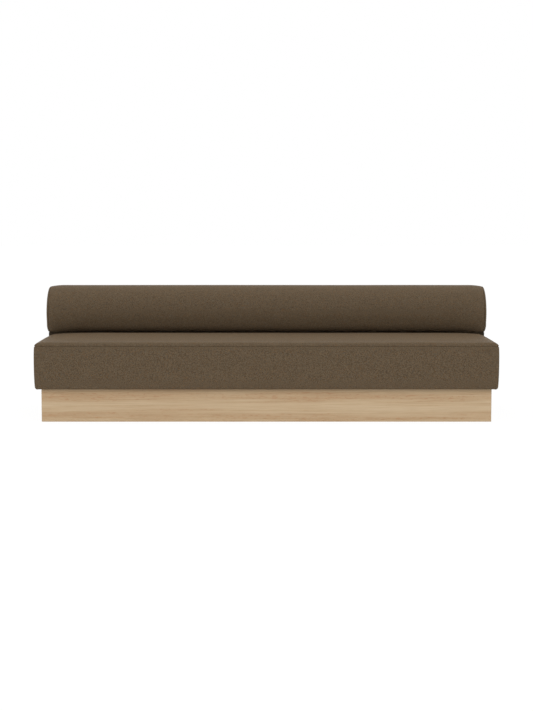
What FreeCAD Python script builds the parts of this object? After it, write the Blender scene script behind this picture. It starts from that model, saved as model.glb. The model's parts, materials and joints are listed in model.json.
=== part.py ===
# Upholstered banquette bench: a long boxed seat on a recessed oak plinth, with one round
# bolster along the back. Millimetres, Z up, the sitter faces -Y, origin on the floor under
# the middle of the bench.
import FreeCAD, Part
import math
import os

V = FreeCAD.Vector

# Seat, measured over its seams
seat_length = 2400.0
seat_depth = 800.0
border_height = 223.0      # upright cloth side, hem to seam
seat_corner_radius = 7.0
seam_pinch = 0.8           # how far the stitching pulls the cloth in
border_bulge = 2.8
border_tuck = 2.2
hem_roll = 6.0             # radius of the turned bottom edge
hem_width = 60.0           # cloth turned under the frame
cushion_roll_run = 36.0    # the rounded edge of the top, measured inward
cushion_roll_rise = 21.0
cushion_crown = 3.0        # further rise toward the middle
crown_margin = 8.0         # flat strip between the edge roll and the crown
crown_run = 200.0          # how far inward the crown rises

# At even steps from the seam down to the bottom roll: how much of the bulge, how much of the tuck
border_profile_shares = (
    (1.00, 0.00),
    (0.75, 0.00),
    (0.00, 1.00),
)
roll_angles = (0.0, 45.0, 90.0)
corner_growth_share = 0.5  # the plan corner opens as the edge roll runs inward

# Cloth and soft layers
cloth = 1.2
soft_gap = 0.3
padding_depth = 14.0       # foam wrap between cloth and frame
webbing_thickness = 1.5
webbing_width = 70.0
webbing_spacing = 105.0
long_webbing_count = 4
base_foam_height = 68.0
dust_cloth = 0.8

# Seat frame
rail_thickness = 25.0
cross_rail_thickness = 30.0
cross_rail_drop = 30.0     # below the webbing, so that it can flex
frame_block_side = 60.0
dowel_diameter = 10.0
dowel_length = 50.0
dowel_inset = 32.0         # from the rail's top and bottom edges

# Oak plinth
plinth_height = 171.8
plinth_recess = 31.5
board_thickness = 22.0
arris = 5.0                # bevel down each outer corner
spline_width = 18.0
spline_thickness = 5.0
spline_end_margin = 15.0
spline_place_share = 0.42  # along the mitre, from its inner corner
rib_thickness = 30.0
rib_height = 110.0
rib_spacing = 600.0
rib_count = 3
block_side = 45.0
block_cut = 30.0           # corner sliced off each corner block
cleat_side = 25.0
cleat_height = 30.0

# Glides under the plinth
glide_proud = 3.0
glide_side = 30.0
glide_corner = 6.0
glide_margin = 2.0         # from the boards' inner faces
fixing_screw_diameter = 6.0
fixing_screw_head = 10.0
fixing_screw_head_height = 4.0
fixing_screw_grip = 32.0   # length that bites into the seat frame

# Steel posts that carry the bolster
post_place_shares = (0.292, 0.833)   # of the half length, both ways from the middle
post_width = 40.0
post_depth = 25.0
post_wall = 2.5
post_foot_gap = 25.0
post_clearance = 1.0
shank_sides = 8            # flats drawn on dowels, screws and bolts in place of fluting and threads
bolt_diameter = 8.0
bolt_head = 13.0
bolt_head_height = 5.5
bolt_tail = 4.0
bolt_level_shares = (0.42, 0.8)   # up the cross rail
shelf_length = 90.0
shelf_margin = 32.0        # from the bearer's front and back
shelf_thickness = 3.0

# Bearer between seat and bolster, let into the top of the seat
bearer_rise = 25.3         # its top above the seat seam
bearer_margin = 2.0        # short of the seat's end seam
bearer_round = 6.0
bearer_edge_padding = 12.0
bearer_board_thickness = 15.0

# Bolster
bolster_radius = 138.0
bolster_back_margin = 148.0  # axis in front of the seat's back seam
seat_drop_share = 0.8688   # axis to the flat underside, of the radius
bolster_end_inset = 6.6    # end seam short of the seat's end seam
bolster_draw = 8.0         # the tube narrows to its end seam
bolster_draw_run = 90.0
cap_shoulder = 20.0        # rounded edge of the end, measured inward
cap_shoulder_rise = 13.0
cap_dome = 5.0             # further rise toward the middle of the end
cap_radius_shares = (1.0, 0.5)
draw_shares = (0.0, 1.0)
spine_diameter = 60.0
spine_wall = 2.5
disc_margin = 14.0         # the disc's edge inside the end seam
disc_thickness = 15.0

overrun = 5.0              # how far a cutting tool passes through

# Levels and planes worked out from the sizes above
half_length = seat_length / 2
half_depth = seat_depth / 2
hem_level = glide_proud + plinth_height
seam_level = hem_level + border_height
frame_bottom = hem_level + cloth
frame_top = seam_level - base_foam_height - 2 * webbing_thickness
cross_rail_top = frame_top - cross_rail_drop
frame_half_length = half_length - padding_depth
frame_half_depth = half_depth - padding_depth
frame_inner_length = frame_half_length - rail_thickness
frame_inner_depth = frame_half_depth - rail_thickness
plinth_half_length = half_length - plinth_recess
plinth_half_depth = half_depth - plinth_recess
plinth_inner_length = plinth_half_length - board_thickness
plinth_inner_depth = plinth_half_depth - board_thickness
bolster_seat_drop = seat_drop_share * bolster_radius
bolster_y = half_depth - bolster_back_margin
bolster_seat = seam_level + bearer_rise
bolster_z = bolster_seat + bolster_seat_drop
bolster_end = half_length - bolster_end_inset
seam_radius = bolster_radius - bolster_draw
disc_radius = seam_radius - disc_margin
bearer_half_depth = math.sqrt(bolster_radius ** 2 - bolster_seat_drop ** 2)
channel_floor = seam_level + cloth + soft_gap
bearer_bottom = channel_floor + soft_gap
post_places = [side * share * half_length for side in (-1, 1) for share in post_place_shares]


def box(x0, x1, y0, y1, z0, z1):
    """A box between two corners."""
    return Part.makeBox(x1 - x0, y1 - y0, z1 - z0, V(x0, y0, z0))


def prism(points, z0, z1):
    """A plan outline of straight edges, raised from z0 to z1."""
    wire = Part.makePolygon([V(x, y, z0) for x, y in points + points[:1]])
    return Part.Face(wire).extrude(V(0, 0, z1 - z0))


def rod(diameter, length, start, axis):
    """A round bar."""
    return Part.makeCylinder(diameter / 2, length, start, axis)


def bar(sides, across, length, start, axis):
    """A straight bar of `sides` flats, `across` from flat to flat, standing on start."""
    corner = across / 2 / math.cos(math.pi / sides)
    turns = [2 * math.pi * k / sides for k in range(sides + 1)]
    corners = [V(corner * math.cos(turn), corner * math.sin(turn), 0) for turn in turns]
    solid = Part.Face(Part.makePolygon(corners)).extrude(V(0, 0, length))
    solid.Placement = FreeCAD.Placement(start, FreeCAD.Rotation(V(0, 0, 1), axis))
    return solid


def hexagon_screw(diameter, head, head_height, length, start, axis):
    """A screw or bolt: its shank runs along axis from start, its hexagonal head stands behind start."""
    cap = bar(6, head, head_height, start - axis * head_height, axis)
    return cap.fuse(bar(shank_sides, diameter, length, start, axis))


def group(solids):
    """Separate solids that share one node."""
    return Part.makeCompound(solids)


def cut_each(solids, tools):
    """Each solid less every tool that reaches it."""
    result = []
    for solid in solids:
        near = [tool for tool in tools if tool.BoundBox.intersect(solid.BoundBox)]
        result.append(solid.cut(near) if near else solid)
    return result


def seat_ring(inset, level, radius):
    """The seat's plan outline, drawn in by inset, with rounded corners."""
    x, y, r = half_length - inset, half_depth - inset, radius
    bend = r * (1 - math.sqrt(0.5))
    edges = []
    for sx, sy, turn in ((1, -1, 0), (1, 1, 1), (-1, 1, 0), (-1, -1, 1)):
        along_x = V(sx * (x - r), sy * y, level)
        along_y = V(sx * x, sy * (y - r), level)
        middle = V(sx * (x - bend), sy * (y - bend), level)
        first, last = (along_y, along_x) if turn else (along_x, along_y)
        edges.append((first, middle, last))
    wire = []
    for k, (first, middle, last) in enumerate(edges):
        wire.append(Part.Arc(first, middle, last).toShape())
        wire.append(Part.makeLine(last, edges[(k + 1) % len(edges)][0]))
    return Part.Wire(wire)


def loft(rings):
    """A solid through closed outlines, ruled from each to the next."""
    return Part.makeLoft(rings, True, True)


def seat_side_form(skin):
    """The block inside the cloth side, `skin` below the cloth's face."""
    radius = seat_corner_radius - skin
    height = border_height - hem_roll
    rings = [seat_ring(seam_pinch + skin, seam_level, radius)]
    for k, (bulge, tuck) in enumerate(border_profile_shares):
        drop = height * (k + 1) / len(border_profile_shares)
        inset = skin - bulge * border_bulge + tuck * border_tuck
        rings.append(seat_ring(inset, seam_level - drop, radius))
    upright = loft(rings)
    rings = []
    roll = hem_roll - skin
    for angle in roll_angles:
        turn = math.radians(angle)
        inset = border_tuck + skin + roll * (1 - math.cos(turn))
        rings.append(seat_ring(inset, hem_level + skin + roll * (1 - math.sin(turn)), radius))
    return upright.fuse(loft(rings))


def crown_form(skin):
    """The shallow rise inside the edge roll: four slopes up to a flat."""
    start = seam_pinch + cushion_roll_run + crown_margin
    x, y, run = half_length - start, half_depth - start, crown_run
    wedge = Part.makeWedge(-x, 0, -y, run - y, run - x, x, cushion_crown, y, y - run, x - run)
    level = seam_level + cushion_roll_rise - skin
    wedge.Placement = FreeCAD.Placement(V(0, 0, level), FreeCAD.Rotation(V(1, 0, 0), 90))
    return wedge


def seat_top_form(skin):
    """The crowned block above the seam, `skin` below the cloth's face (or above it, if negative)."""
    edge = []
    for angle in roll_angles:
        turn = math.radians(angle)
        inset = seam_pinch + cushion_roll_run * (1 - math.cos(turn)) + skin * math.cos(turn)
        radius = seat_corner_radius + inset * corner_growth_share - skin
        edge.append(seat_ring(inset, seam_level + (cushion_roll_rise - skin) * math.sin(turn), radius))
    return loft(edge).fuse(crown_form(skin))


def quarter_prisms():
    """Four plan wedges that meet on the corner mitres: front, back, left and right."""
    reach = hem_width + overrun
    outer_x, outer_y = half_length + overrun, half_depth + overrun
    inner_x, inner_y = half_length - reach, half_depth - reach
    low, high = hem_level - overrun, seam_level + overrun
    front = [(-outer_x, -outer_y), (outer_x, -outer_y), (inner_x, -inner_y), (-inner_x, -inner_y)]
    left = [(-outer_x, -outer_y), (-inner_x, -inner_y), (-inner_x, inner_y), (-outer_x, outer_y)]
    back = [(-x, -y) for x, y in front]
    right = [(-x, -y) for x, y in left]
    sides = {"front": front, "back": back, "left": left, "right": right}
    return {side: prism(points, low, high) for side, points in sides.items()}


def plinth_boards():
    """Four oak boards, mitred at the corners, each corner with a bevelled arris."""
    x, y, t, c = plinth_half_length, plinth_half_depth, board_thickness, arris
    front = [(-x + c / 2, -y + c / 2), (-x + c, -y), (x - c, -y), (x - c / 2, -y + c / 2),
             (x - t, -y + t), (-x + t, -y + t)]
    left = [(-x + c / 2, -y + c / 2), (-x + t, -y + t), (-x + t, y - t), (-x + c / 2, y - c / 2),
            (-x, y - c), (-x, -y + c)]
    back = [(-px, -py) for px, py in front]
    right = [(-px, -py) for px, py in left]
    sides = {"front": front, "back": back, "left": left, "right": right}
    return {side: prism(points, glide_proud, hem_level) for side, points in sides.items()}


def mitre_splines():
    """Loose tongues let into the two faces of each mitre, square across the joint."""
    low, high = glide_proud + spline_end_margin, hem_level - spline_end_margin
    tongue = box(-spline_width / 2, spline_width / 2, -spline_thickness / 2, spline_thickness / 2,
                 low, high)
    splines = []
    for sx in (-1, 1):
        for sy in (-1, 1):
            step = spline_place_share * board_thickness
            spline = tongue.copy()
            spline.rotate(V(0, 0, 0), V(0, 0, 1), -45 * sx * sy)
            spline.translate(V(sx * (plinth_inner_length + step), sy * (plinth_inner_depth + step), 0))
            splines.append(spline)
    return splines


def plinth_blocks():
    """Glue blocks: one in each corner, and one under the cleats in the middle of each long side."""
    s, c = block_side, block_side - block_cut
    corner = [(0, 0), (s, 0), (s, c), (c, s), (0, s)]
    blocks = []
    for sx in (-1, 1):
        for sy in (-1, 1):
            points = [(sx * (plinth_inner_length - px), sy * (plinth_inner_depth - py))
                      for px, py in corner]
            blocks.append(prism(points, glide_proud, hem_level))
    near, far = rib_thickness / 2, rib_thickness / 2 + s
    for sy in (-1, 1):
        y0, y1 = sorted((sy * plinth_inner_depth, sy * (plinth_inner_depth - s)))
        blocks.append(box(near, far, y0, y1, glide_proud, hem_level - cleat_height))
    return blocks


def rib_places():
    """Where the ribs cross the plinth."""
    return [rib_spacing * (k - (rib_count - 1) / 2) for k in range(rib_count)]


def plinth_rib(x):
    """A softwood rib from front board to back board, level with the top of the plinth."""
    return box(x - rib_thickness / 2, x + rib_thickness / 2, -plinth_inner_depth, plinth_inner_depth,
               hem_level - rib_height, hem_level)


def plinth_cleats(side):
    """Cleats along one long board, cut to fit between the corner blocks and the ribs."""
    end = plinth_inner_length - block_side
    stops = [-end - rib_thickness / 2] + rib_places() + [end + rib_thickness / 2]
    y0, y1 = sorted((side * plinth_inner_depth, side * (plinth_inner_depth - cleat_side)))
    return [box(a + rib_thickness / 2, b - rib_thickness / 2, y0, y1, hem_level - cleat_height, hem_level)
            for a, b in zip(stops, stops[1:])]


def glide_centres():
    """The middle of each glue block's underside."""
    corner = block_side / 2
    middle = rib_thickness / 2 + corner
    centres = [V(middle, sy * (plinth_inner_depth - corner), 0) for sy in (-1, 1)]
    reach = glide_side / 2 + glide_margin
    for sx in (-1, 1):
        for sy in (-1, 1):
            centres.append(V(sx * (plinth_inner_length - reach), sy * (plinth_inner_depth - reach), 0))
    return centres


def glide(centre):
    """A nylon pad with its corners cut off, pressed onto a glue block's underside."""
    half, cut = glide_side / 2, glide_side / 2 - glide_corner
    x, y = centre.x, centre.y
    points = [(x - cut, y - half), (x + cut, y - half), (x + half, y - cut), (x + half, y + cut),
              (x + cut, y + half), (x - cut, y + half), (x - half, y + cut), (x - half, y - cut)]
    return prism(points, 0, glide_proud)


def fixing_screws():
    """Coach screws up through the cleats into the seat's cross rails."""
    y = plinth_inner_depth - cleat_side / 2
    length = cleat_height + cloth + fixing_screw_grip
    return [hexagon_screw(fixing_screw_diameter, fixing_screw_head, fixing_screw_head_height, length,
                          V(x, sy * y, hem_level - cleat_height), V(0, 0, 1))
            for x in post_places for sy in (-1, 1)]


def cross_members():
    """Middle planes and thicknesses of all rails that run front to back."""
    side = frame_half_length - rail_thickness / 2
    return ([(x, cross_rail_thickness, cross_rail_top) for x in post_places]
            + [(-side, rail_thickness, frame_top), (side, rail_thickness, frame_top)])


def frame_dowels():
    """Two dowels at each end of every rail that runs front to back."""
    dowels = []
    for x, _, top in cross_members():
        for z in (frame_bottom + dowel_inset, top - dowel_inset):
            for sy in (-1, 1):
                start = V(x, sy * frame_inner_depth - dowel_length / 2, z)
                dowels.append(bar(shank_sides, dowel_diameter, dowel_length, start, V(0, 1, 0)))
    return dowels


def frame_blocks():
    """Three-cornered glue blocks inside the seat frame's corners."""
    s = frame_block_side
    blocks = []
    for sx in (-1, 1):
        for sy in (-1, 1):
            x, y = sx * frame_inner_length, sy * frame_inner_depth
            points = [(x, y), (x - sx * s, y), (x, y - sy * s)]
            blocks.append(prism(points, frame_bottom + dowel_inset, frame_top - dowel_inset))
    return blocks


def short_webbing():
    """Bands from the front rail to the back rail, evenly spaced."""
    count = int(2 * frame_inner_length // webbing_spacing)
    first = -webbing_spacing * (count - 1) / 2
    middles = [first + k * webbing_spacing for k in range(count)]
    return [box(x - webbing_width / 2, x + webbing_width / 2, -frame_half_depth, frame_half_depth,
                frame_top, frame_top + webbing_thickness) for x in middles]


def long_webbing():
    """Bands from end rail to end rail, over the short ones."""
    pitch = 2 * frame_inner_depth / (long_webbing_count + 1)
    low = frame_top + webbing_thickness
    middles = [pitch * (k + 1) - frame_inner_depth for k in range(long_webbing_count)]
    return [box(-frame_half_length, frame_half_length, y - webbing_width / 2, y + webbing_width / 2,
                low, low + webbing_thickness) for y in middles]


def post_middle(x):
    """Post beside its cross rail, on the side of the bench's middle."""
    return x - math.copysign(cross_rail_thickness / 2 + post_width / 2, x)


def post_block(x, grow, low, high):
    """An upright block in the place of one post, grown sideways by a clearance."""
    middle = post_middle(x)
    return box(middle - post_width / 2 - grow, middle + post_width / 2 + grow,
               bolster_y - post_depth / 2 - grow, bolster_y + post_depth / 2 + grow, low, high)


def post_slots():
    """Clearance for the posts through every soft layer."""
    return [post_block(x, post_clearance, frame_bottom, bolster_z) for x in post_places]


def bolt_levels():
    """Heights of the two bolts through each post."""
    return [frame_bottom + share * (cross_rail_top - frame_bottom) for share in bolt_level_shares]


def post_bores():
    """Bolt holes through post and cross rail."""
    reach = cross_rail_thickness / 2 + post_width + bolt_head_height + overrun
    return [bar(shank_sides, bolt_diameter, 2 * reach, V(x - reach, bolster_y, z), V(1, 0, 0))
            for x in post_places for z in bolt_levels()]


def posts():
    """Rectangular tubes whose tops are coped to the spine they are welded to."""
    spine = rod(spine_diameter, 2 * bolster_end, V(-bolster_end, bolster_y, bolster_z), V(1, 0, 0))
    low = frame_bottom + post_foot_gap
    result = []
    for x in post_places:
        outer = post_block(x, 0, low, bolster_z)
        inner = post_block(x, -post_wall, low - overrun, bolster_z + overrun)
        result.append(outer.cut(inner).cut(spine).cut(post_bores()))
    return result


def bolt_parts():
    """Flanged bolts and nuts that clamp each post to its cross rail."""
    bolts, nuts = [], []
    for x in post_places:
        inward = V(-math.copysign(1, x), 0, 0)
        for z in bolt_levels():
            rail_face = V(x, bolster_y, z) - inward * (cross_rail_thickness / 2)
            post_face = V(post_middle(x), bolster_y, z) + inward * (post_width / 2)
            shank = (post_face - rail_face).Length + bolt_head_height + bolt_tail
            bolts.append(hexagon_screw(bolt_diameter, bolt_head, bolt_head_height, shank,
                                       rail_face, inward))
            nuts.append(bar(6, bolt_head, bolt_head_height, post_face, inward))
    bores = post_bores()
    return bolts, cut_each(nuts, bores)


def bearer_channel(skin, low):
    """The channel across the seat that the bearer lies in, its walls `skin` behind the cloth."""
    reach = half_length + overrun
    y = bearer_half_depth + soft_gap + skin
    return box(-reach, reach, bolster_y - y, bolster_y + y, low, bolster_z)


def bearer_form(skin):
    """The bearer's padded block, `skin` below its cloth's face."""
    x = half_length - bearer_margin - skin
    y = bearer_half_depth - skin
    block = box(-x, x, bolster_y - y, bolster_y + y, bearer_bottom + skin, bolster_seat - skin)
    long_edges = [e for e in block.Edges if e.BoundBox.XLength > bearer_half_depth]
    return block.makeFillet(bearer_round - skin, long_edges)


def bearer_board():
    """The plywood board of the bearer."""
    x = half_length - bearer_margin - bearer_edge_padding
    y = bearer_half_depth - bearer_edge_padding
    top = bolster_seat - cloth - soft_gap
    return box(-x, x, bolster_y - y, bolster_y + y, top - bearer_board_thickness, top)


def shelf_plates():
    """Steel plates, welded round the posts and let into the board's underside."""
    low = bearer_board().BoundBox.ZMin
    reach = bearer_half_depth - shelf_margin
    plates = []
    for x in post_places:
        middle = post_middle(x)
        plates.append(box(middle - shelf_length / 2, middle + shelf_length / 2,
                          bolster_y - reach, bolster_y + reach, low, low + shelf_thickness))
    return plates


def bolster_ring(x, radius):
    """The bolster's round section as three equal arcs."""
    def point(degrees):
        turn = math.radians(degrees)
        return V(x, bolster_y + radius * math.cos(turn), bolster_z + radius * math.sin(turn))
    arcs = [Part.Arc(point(a), point(a + 60), point(a + 120)).toShape() for a in (30, 150, 270)]
    return Part.Wire(arcs)


def below_bolster():
    """Everything under the plane on which the bolster is pressed flat."""
    reach = half_length + overrun
    return box(-reach, reach, bolster_y - bolster_radius - overrun,
               bolster_y + bolster_radius + overrun, hem_level, bolster_seat)


def tube_form(skin, low, high):
    """The bolster between x = low and x = high, `skin` below its face."""
    straight = bolster_end - bolster_draw_run
    radius = bolster_radius - skin
    form = rod(2 * radius, 2 * straight, V(-straight, bolster_y, bolster_z), V(1, 0, 0))
    for side in (-1, 1):
        rings = [bolster_ring(side * (straight + share * bolster_draw_run),
                              radius - bolster_draw * share ** 2) for share in draw_shares]
        form = form.fuse(loft(rings))
    reach = box(low, high, bolster_y - bolster_radius, bolster_y + bolster_radius,
                bolster_seat + skin, bolster_z + bolster_radius)
    return form.common(reach)


def cap_form(skin, side):
    """One domed end outside its seam, `skin` below its face: a rounded shoulder, then a shallow dome."""
    shoulder = []
    for angle in roll_angles:
        turn = math.radians(angle)
        rise = (cap_shoulder_rise - skin) * math.sin(turn)
        radius = seam_radius - skin - (cap_shoulder - skin) * (1 - math.cos(turn))
        shoulder.append(bolster_ring(side * (bolster_end + rise), radius))
    dome = []
    for share in cap_radius_shares:
        rise = cap_shoulder_rise - skin + cap_dome * (1 - share ** 2)
        dome.append(bolster_ring(side * (bolster_end + rise), share * (seam_radius - cap_shoulder)))
    form = loft(shoulder).fuse(loft(dome))
    return form.cut(below_bolster().translated(V(0, 0, skin)))


def end_disc(side):
    """A plywood end disc, flattened where the bolster is."""
    start = V(side * (bolster_end - disc_thickness), bolster_y, bolster_z)
    disc = rod(2 * disc_radius, disc_thickness, start, V(side, 0, 0))
    lift = cloth + soft_gap + post_clearance
    return disc.cut(below_bolster().translated(V(0, 0, lift)))


def spine_solid(diameter):
    """The bolster's spine as a plain bar, from disc to disc."""
    return rod(diameter, 2 * bolster_end, V(-bolster_end, bolster_y, bolster_z), V(1, 0, 0))


def plinth_nodes():
    """The oak plinth and what is glued and screwed inside it."""
    splines, blocks, screws = mitre_splines(), plinth_blocks(), fixing_screws()
    nodes = {}
    for side, board in plinth_boards().items():
        nodes[f"plinth_board_{side}"] = board.cut(splines)
    nodes["plinth_mitre_splines"] = group(splines)
    nodes["plinth_glue_blocks"] = group(blocks)
    for name, x in zip(("left", "middle", "right"), rib_places()):
        nodes[f"plinth_rib_{name}"] = plinth_rib(x)
    nodes["plinth_cleats_front"] = group(cut_each(plinth_cleats(-1), screws))
    nodes["plinth_cleats_back"] = group(cut_each(plinth_cleats(1), screws))
    nodes["glides"] = group([glide(centre) for centre in glide_centres()])
    nodes["plinth_fixing_screws"] = group(screws)
    return nodes


def seat_frame_nodes():
    """The softwood frame inside the seat, with its dowels, blocks and webbing."""
    dowels, screws, bores = frame_dowels(), fixing_screws(), post_bores()
    x, y, t = frame_half_length, frame_half_depth, rail_thickness
    nodes = {}
    nodes["seat_rail_front"] = box(-x, x, -y, -y + t, frame_bottom, frame_top).cut(dowels)
    nodes["seat_rail_back"] = box(-x, x, y - t, y, frame_bottom, frame_top).cut(dowels)
    depth = frame_inner_depth
    nodes["seat_rail_left"] = box(-x, -x + t, -depth, depth, frame_bottom, frame_top).cut(dowels)
    nodes["seat_rail_right"] = box(x - t, x, -depth, depth, frame_bottom, frame_top).cut(dowels)
    half = cross_rail_thickness / 2
    cross_rails = [box(px - half, px + half, -depth, depth, frame_bottom, cross_rail_top)
                   for px in post_places]
    nodes["seat_cross_rails"] = group(cut_each(cross_rails, dowels + screws + bores))
    nodes["seat_frame_dowels"] = group(dowels)
    nodes["seat_corner_blocks"] = group(frame_blocks())
    nodes["webbing_front_to_back"] = group(short_webbing())
    nodes["webbing_lengthwise"] = group(long_webbing())
    return nodes


def seat_soft_nodes():
    """Foam, padding and cloth of the seat, and the dust cloth under it."""
    slots, screws, wedges = post_slots(), fixing_screws(), quarter_prisms()
    skin = cloth + soft_gap
    core = box(-frame_half_length, frame_half_length, -frame_half_depth, frame_half_depth,
               hem_level, seam_level + overrun)
    padding = seat_side_form(skin).cut(core)
    hem = hem_width
    under = box(-half_length + hem, half_length - hem, -half_depth + hem, half_depth - hem,
                hem_level - overrun, frame_bottom)
    border = seat_side_form(0).cut(seat_side_form(cloth)).cut(under)
    nodes = {}
    for side, wedge in wedges.items():
        nodes[f"seat_side_padding_{side}"] = padding.common(wedge)
        nodes[f"seat_cover_border_{side}"] = border.common(wedge)
    foam = box(-frame_half_length, frame_half_length, -frame_half_depth, frame_half_depth,
               frame_top + 2 * webbing_thickness, seam_level)
    nodes["seat_base_foam"] = foam.cut(slots)
    topper = seat_top_form(skin).cut(bearer_channel(skin, seam_level - overrun))
    nodes["seat_topper"] = topper
    top_face = seat_top_form(0).cut(bearer_channel(0, channel_floor))
    top_back = seat_top_form(cloth).cut(bearer_channel(cloth, channel_floor - cloth))
    nodes["seat_cover_top"] = top_face.cut(top_back).cut(slots)
    dust = box(-half_length + hem, half_length - hem, -half_depth + hem, half_depth - hem,
               hem_level, hem_level + dust_cloth)
    nodes["dust_cloth"] = dust.cut(screws)
    return nodes


def post_nodes():
    """The steelwork that ties the bolster to the seat frame."""
    bolts, nuts = bolt_parts()
    nodes = {"bolster_posts": group(posts())}
    tubes = [post_block(x, 0, frame_bottom, bolster_z) for x in post_places]
    nodes["bearer_shelf_plates"] = group(cut_each(shelf_plates(), tubes))
    nodes["post_bolts"] = group(bolts)
    nodes["post_nuts"] = group(nuts)
    return nodes


def bearer_nodes():
    """The padded bearer on which the bolster lies."""
    slots, plates, board = post_slots(), shelf_plates(), bearer_board()
    nodes = {"bearer_board": board.cut(plates).cut(slots)}
    nodes["bearer_padding"] = bearer_form(cloth + soft_gap).cut(board).cut(slots)
    nodes["bearer_cover"] = bearer_form(0).cut(bearer_form(cloth)).cut(slots)
    return nodes


def bolster_nodes():
    """The bolster: steel spine, end discs, foam and sewn cover."""
    slots, skin = post_slots(), cloth + soft_gap
    spine = spine_solid(spine_diameter)
    inner_end = bolster_end - disc_thickness
    nodes = {"bolster_spine": spine.cut(spine_solid(spine_diameter - 2 * spine_wall))}
    nodes["bolster_foam"] = tube_form(skin, -inner_end, inner_end).cut([spine] + slots)
    cover = tube_form(0, -bolster_end, bolster_end)
    nodes["bolster_cover"] = cover.cut([tube_form(cloth, -bolster_end, bolster_end)] + slots)
    discs, pads, caps = [], [], []
    for side in (-1, 1):
        disc = end_disc(side)
        collar = tube_form(skin, *sorted((side * inner_end, side * bolster_end)))
        discs.append(disc.cut(spine))
        pads.append(collar.cut(disc).fuse(cap_form(skin, side)))
        caps.append(cap_form(0, side).cut(cap_form(cloth, side)))
    nodes["bolster_end_discs"] = group(discs)
    nodes["bolster_end_pads"] = group(pads)
    nodes["bolster_cover_caps"] = group(caps)
    return nodes


def build():
    """Every node of the bench, by name."""
    nodes = {}
    for make in (plinth_nodes, seat_frame_nodes, seat_soft_nodes, post_nodes, bearer_nodes,
                 bolster_nodes):
        nodes.update(make())
    return nodes


os.makedirs("parts", exist_ok=True)
for name, shape in build().items():
    shape.exportStep(f"parts/{name}.step")
    print(f"{name}: {len(shape.Solids)} solids, {shape.Volume / 1000:.1f} cm3")
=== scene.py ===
# %% [markdown]
# # An upholstered banquette bench
# The bench is a long boxed seat on an oak plinth, with a round bolster as its back. The wood and
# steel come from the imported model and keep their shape. What this lesson makes is the soft side of
# the bench, its cloth and its filling, and then the finish of every surface. All sizes are metres,
# +X runs along the bench, the sitter looks towards -Y, and Z is up.

import json
import math

import bmesh
import bpy
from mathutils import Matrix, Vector, noise


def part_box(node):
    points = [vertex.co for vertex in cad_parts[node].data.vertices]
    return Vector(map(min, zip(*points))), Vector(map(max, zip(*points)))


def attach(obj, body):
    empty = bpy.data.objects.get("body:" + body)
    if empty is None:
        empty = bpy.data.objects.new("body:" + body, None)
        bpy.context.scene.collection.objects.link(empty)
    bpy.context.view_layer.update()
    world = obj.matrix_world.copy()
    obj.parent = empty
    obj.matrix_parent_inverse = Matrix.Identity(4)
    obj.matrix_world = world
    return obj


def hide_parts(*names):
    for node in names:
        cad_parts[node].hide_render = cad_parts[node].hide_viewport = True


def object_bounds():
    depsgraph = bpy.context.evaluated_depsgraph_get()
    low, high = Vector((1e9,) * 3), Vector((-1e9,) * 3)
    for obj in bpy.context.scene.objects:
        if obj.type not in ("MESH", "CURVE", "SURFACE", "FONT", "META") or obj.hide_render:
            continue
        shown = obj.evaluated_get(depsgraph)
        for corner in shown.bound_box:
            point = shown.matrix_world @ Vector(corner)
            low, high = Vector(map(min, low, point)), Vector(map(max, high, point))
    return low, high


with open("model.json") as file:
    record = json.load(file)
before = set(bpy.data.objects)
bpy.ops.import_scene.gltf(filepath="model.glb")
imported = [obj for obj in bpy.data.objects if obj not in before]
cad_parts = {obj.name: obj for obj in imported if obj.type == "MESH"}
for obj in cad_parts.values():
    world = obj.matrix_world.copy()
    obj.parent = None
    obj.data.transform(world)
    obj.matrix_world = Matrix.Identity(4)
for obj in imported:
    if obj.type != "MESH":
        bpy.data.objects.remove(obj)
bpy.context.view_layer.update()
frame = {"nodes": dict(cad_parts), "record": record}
mm = 0.001


def box_of(*names):
    """The lowest and highest corner of the named nodes together."""
    corners = [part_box(name) for name in names]
    low = Vector([min(pair[0][k] for pair in corners) for k in range(3)])
    high = Vector([max(pair[1][k] for pair in corners) for k in range(3)])
    return low, high


# %% [markdown]
# ## The camera
# A straight front view from far away keeps the long bench calm: its edges stay nearly parallel.
# A wide lens close by would show more of the seat but bend the proportions, so this camera stands
# eight and a half metres off with a long lens, a little above the bench, and looks slightly down.

# %% Camera
camera_distance = 8.575
camera_height = 1.160
camera_tilt = math.radians(5.646)
camera_lens = 80.66

camera_data = bpy.data.cameras.new("front_camera")
camera_data.sensor_fit = "VERTICAL"
camera_data.sensor_height = 36.0
camera_data.lens = camera_lens
camera = bpy.data.objects.new("front_camera", camera_data)
camera.location = (0.0, -camera_distance, camera_height)
camera.rotation_euler = (math.radians(90) - camera_tilt, 0.0, 0.0)
bpy.context.collection.objects.link(camera)
bpy.context.scene.camera = camera
print("camera", camera_lens, "mm")

# %% [markdown]
# ## A few helpers for materials
# Every finish below is a small tree of nodes. One class keeps the trees readable: each of its
# methods adds one kind of node, with its inputs set to a value or linked to another node.

# %% Material helpers


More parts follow.
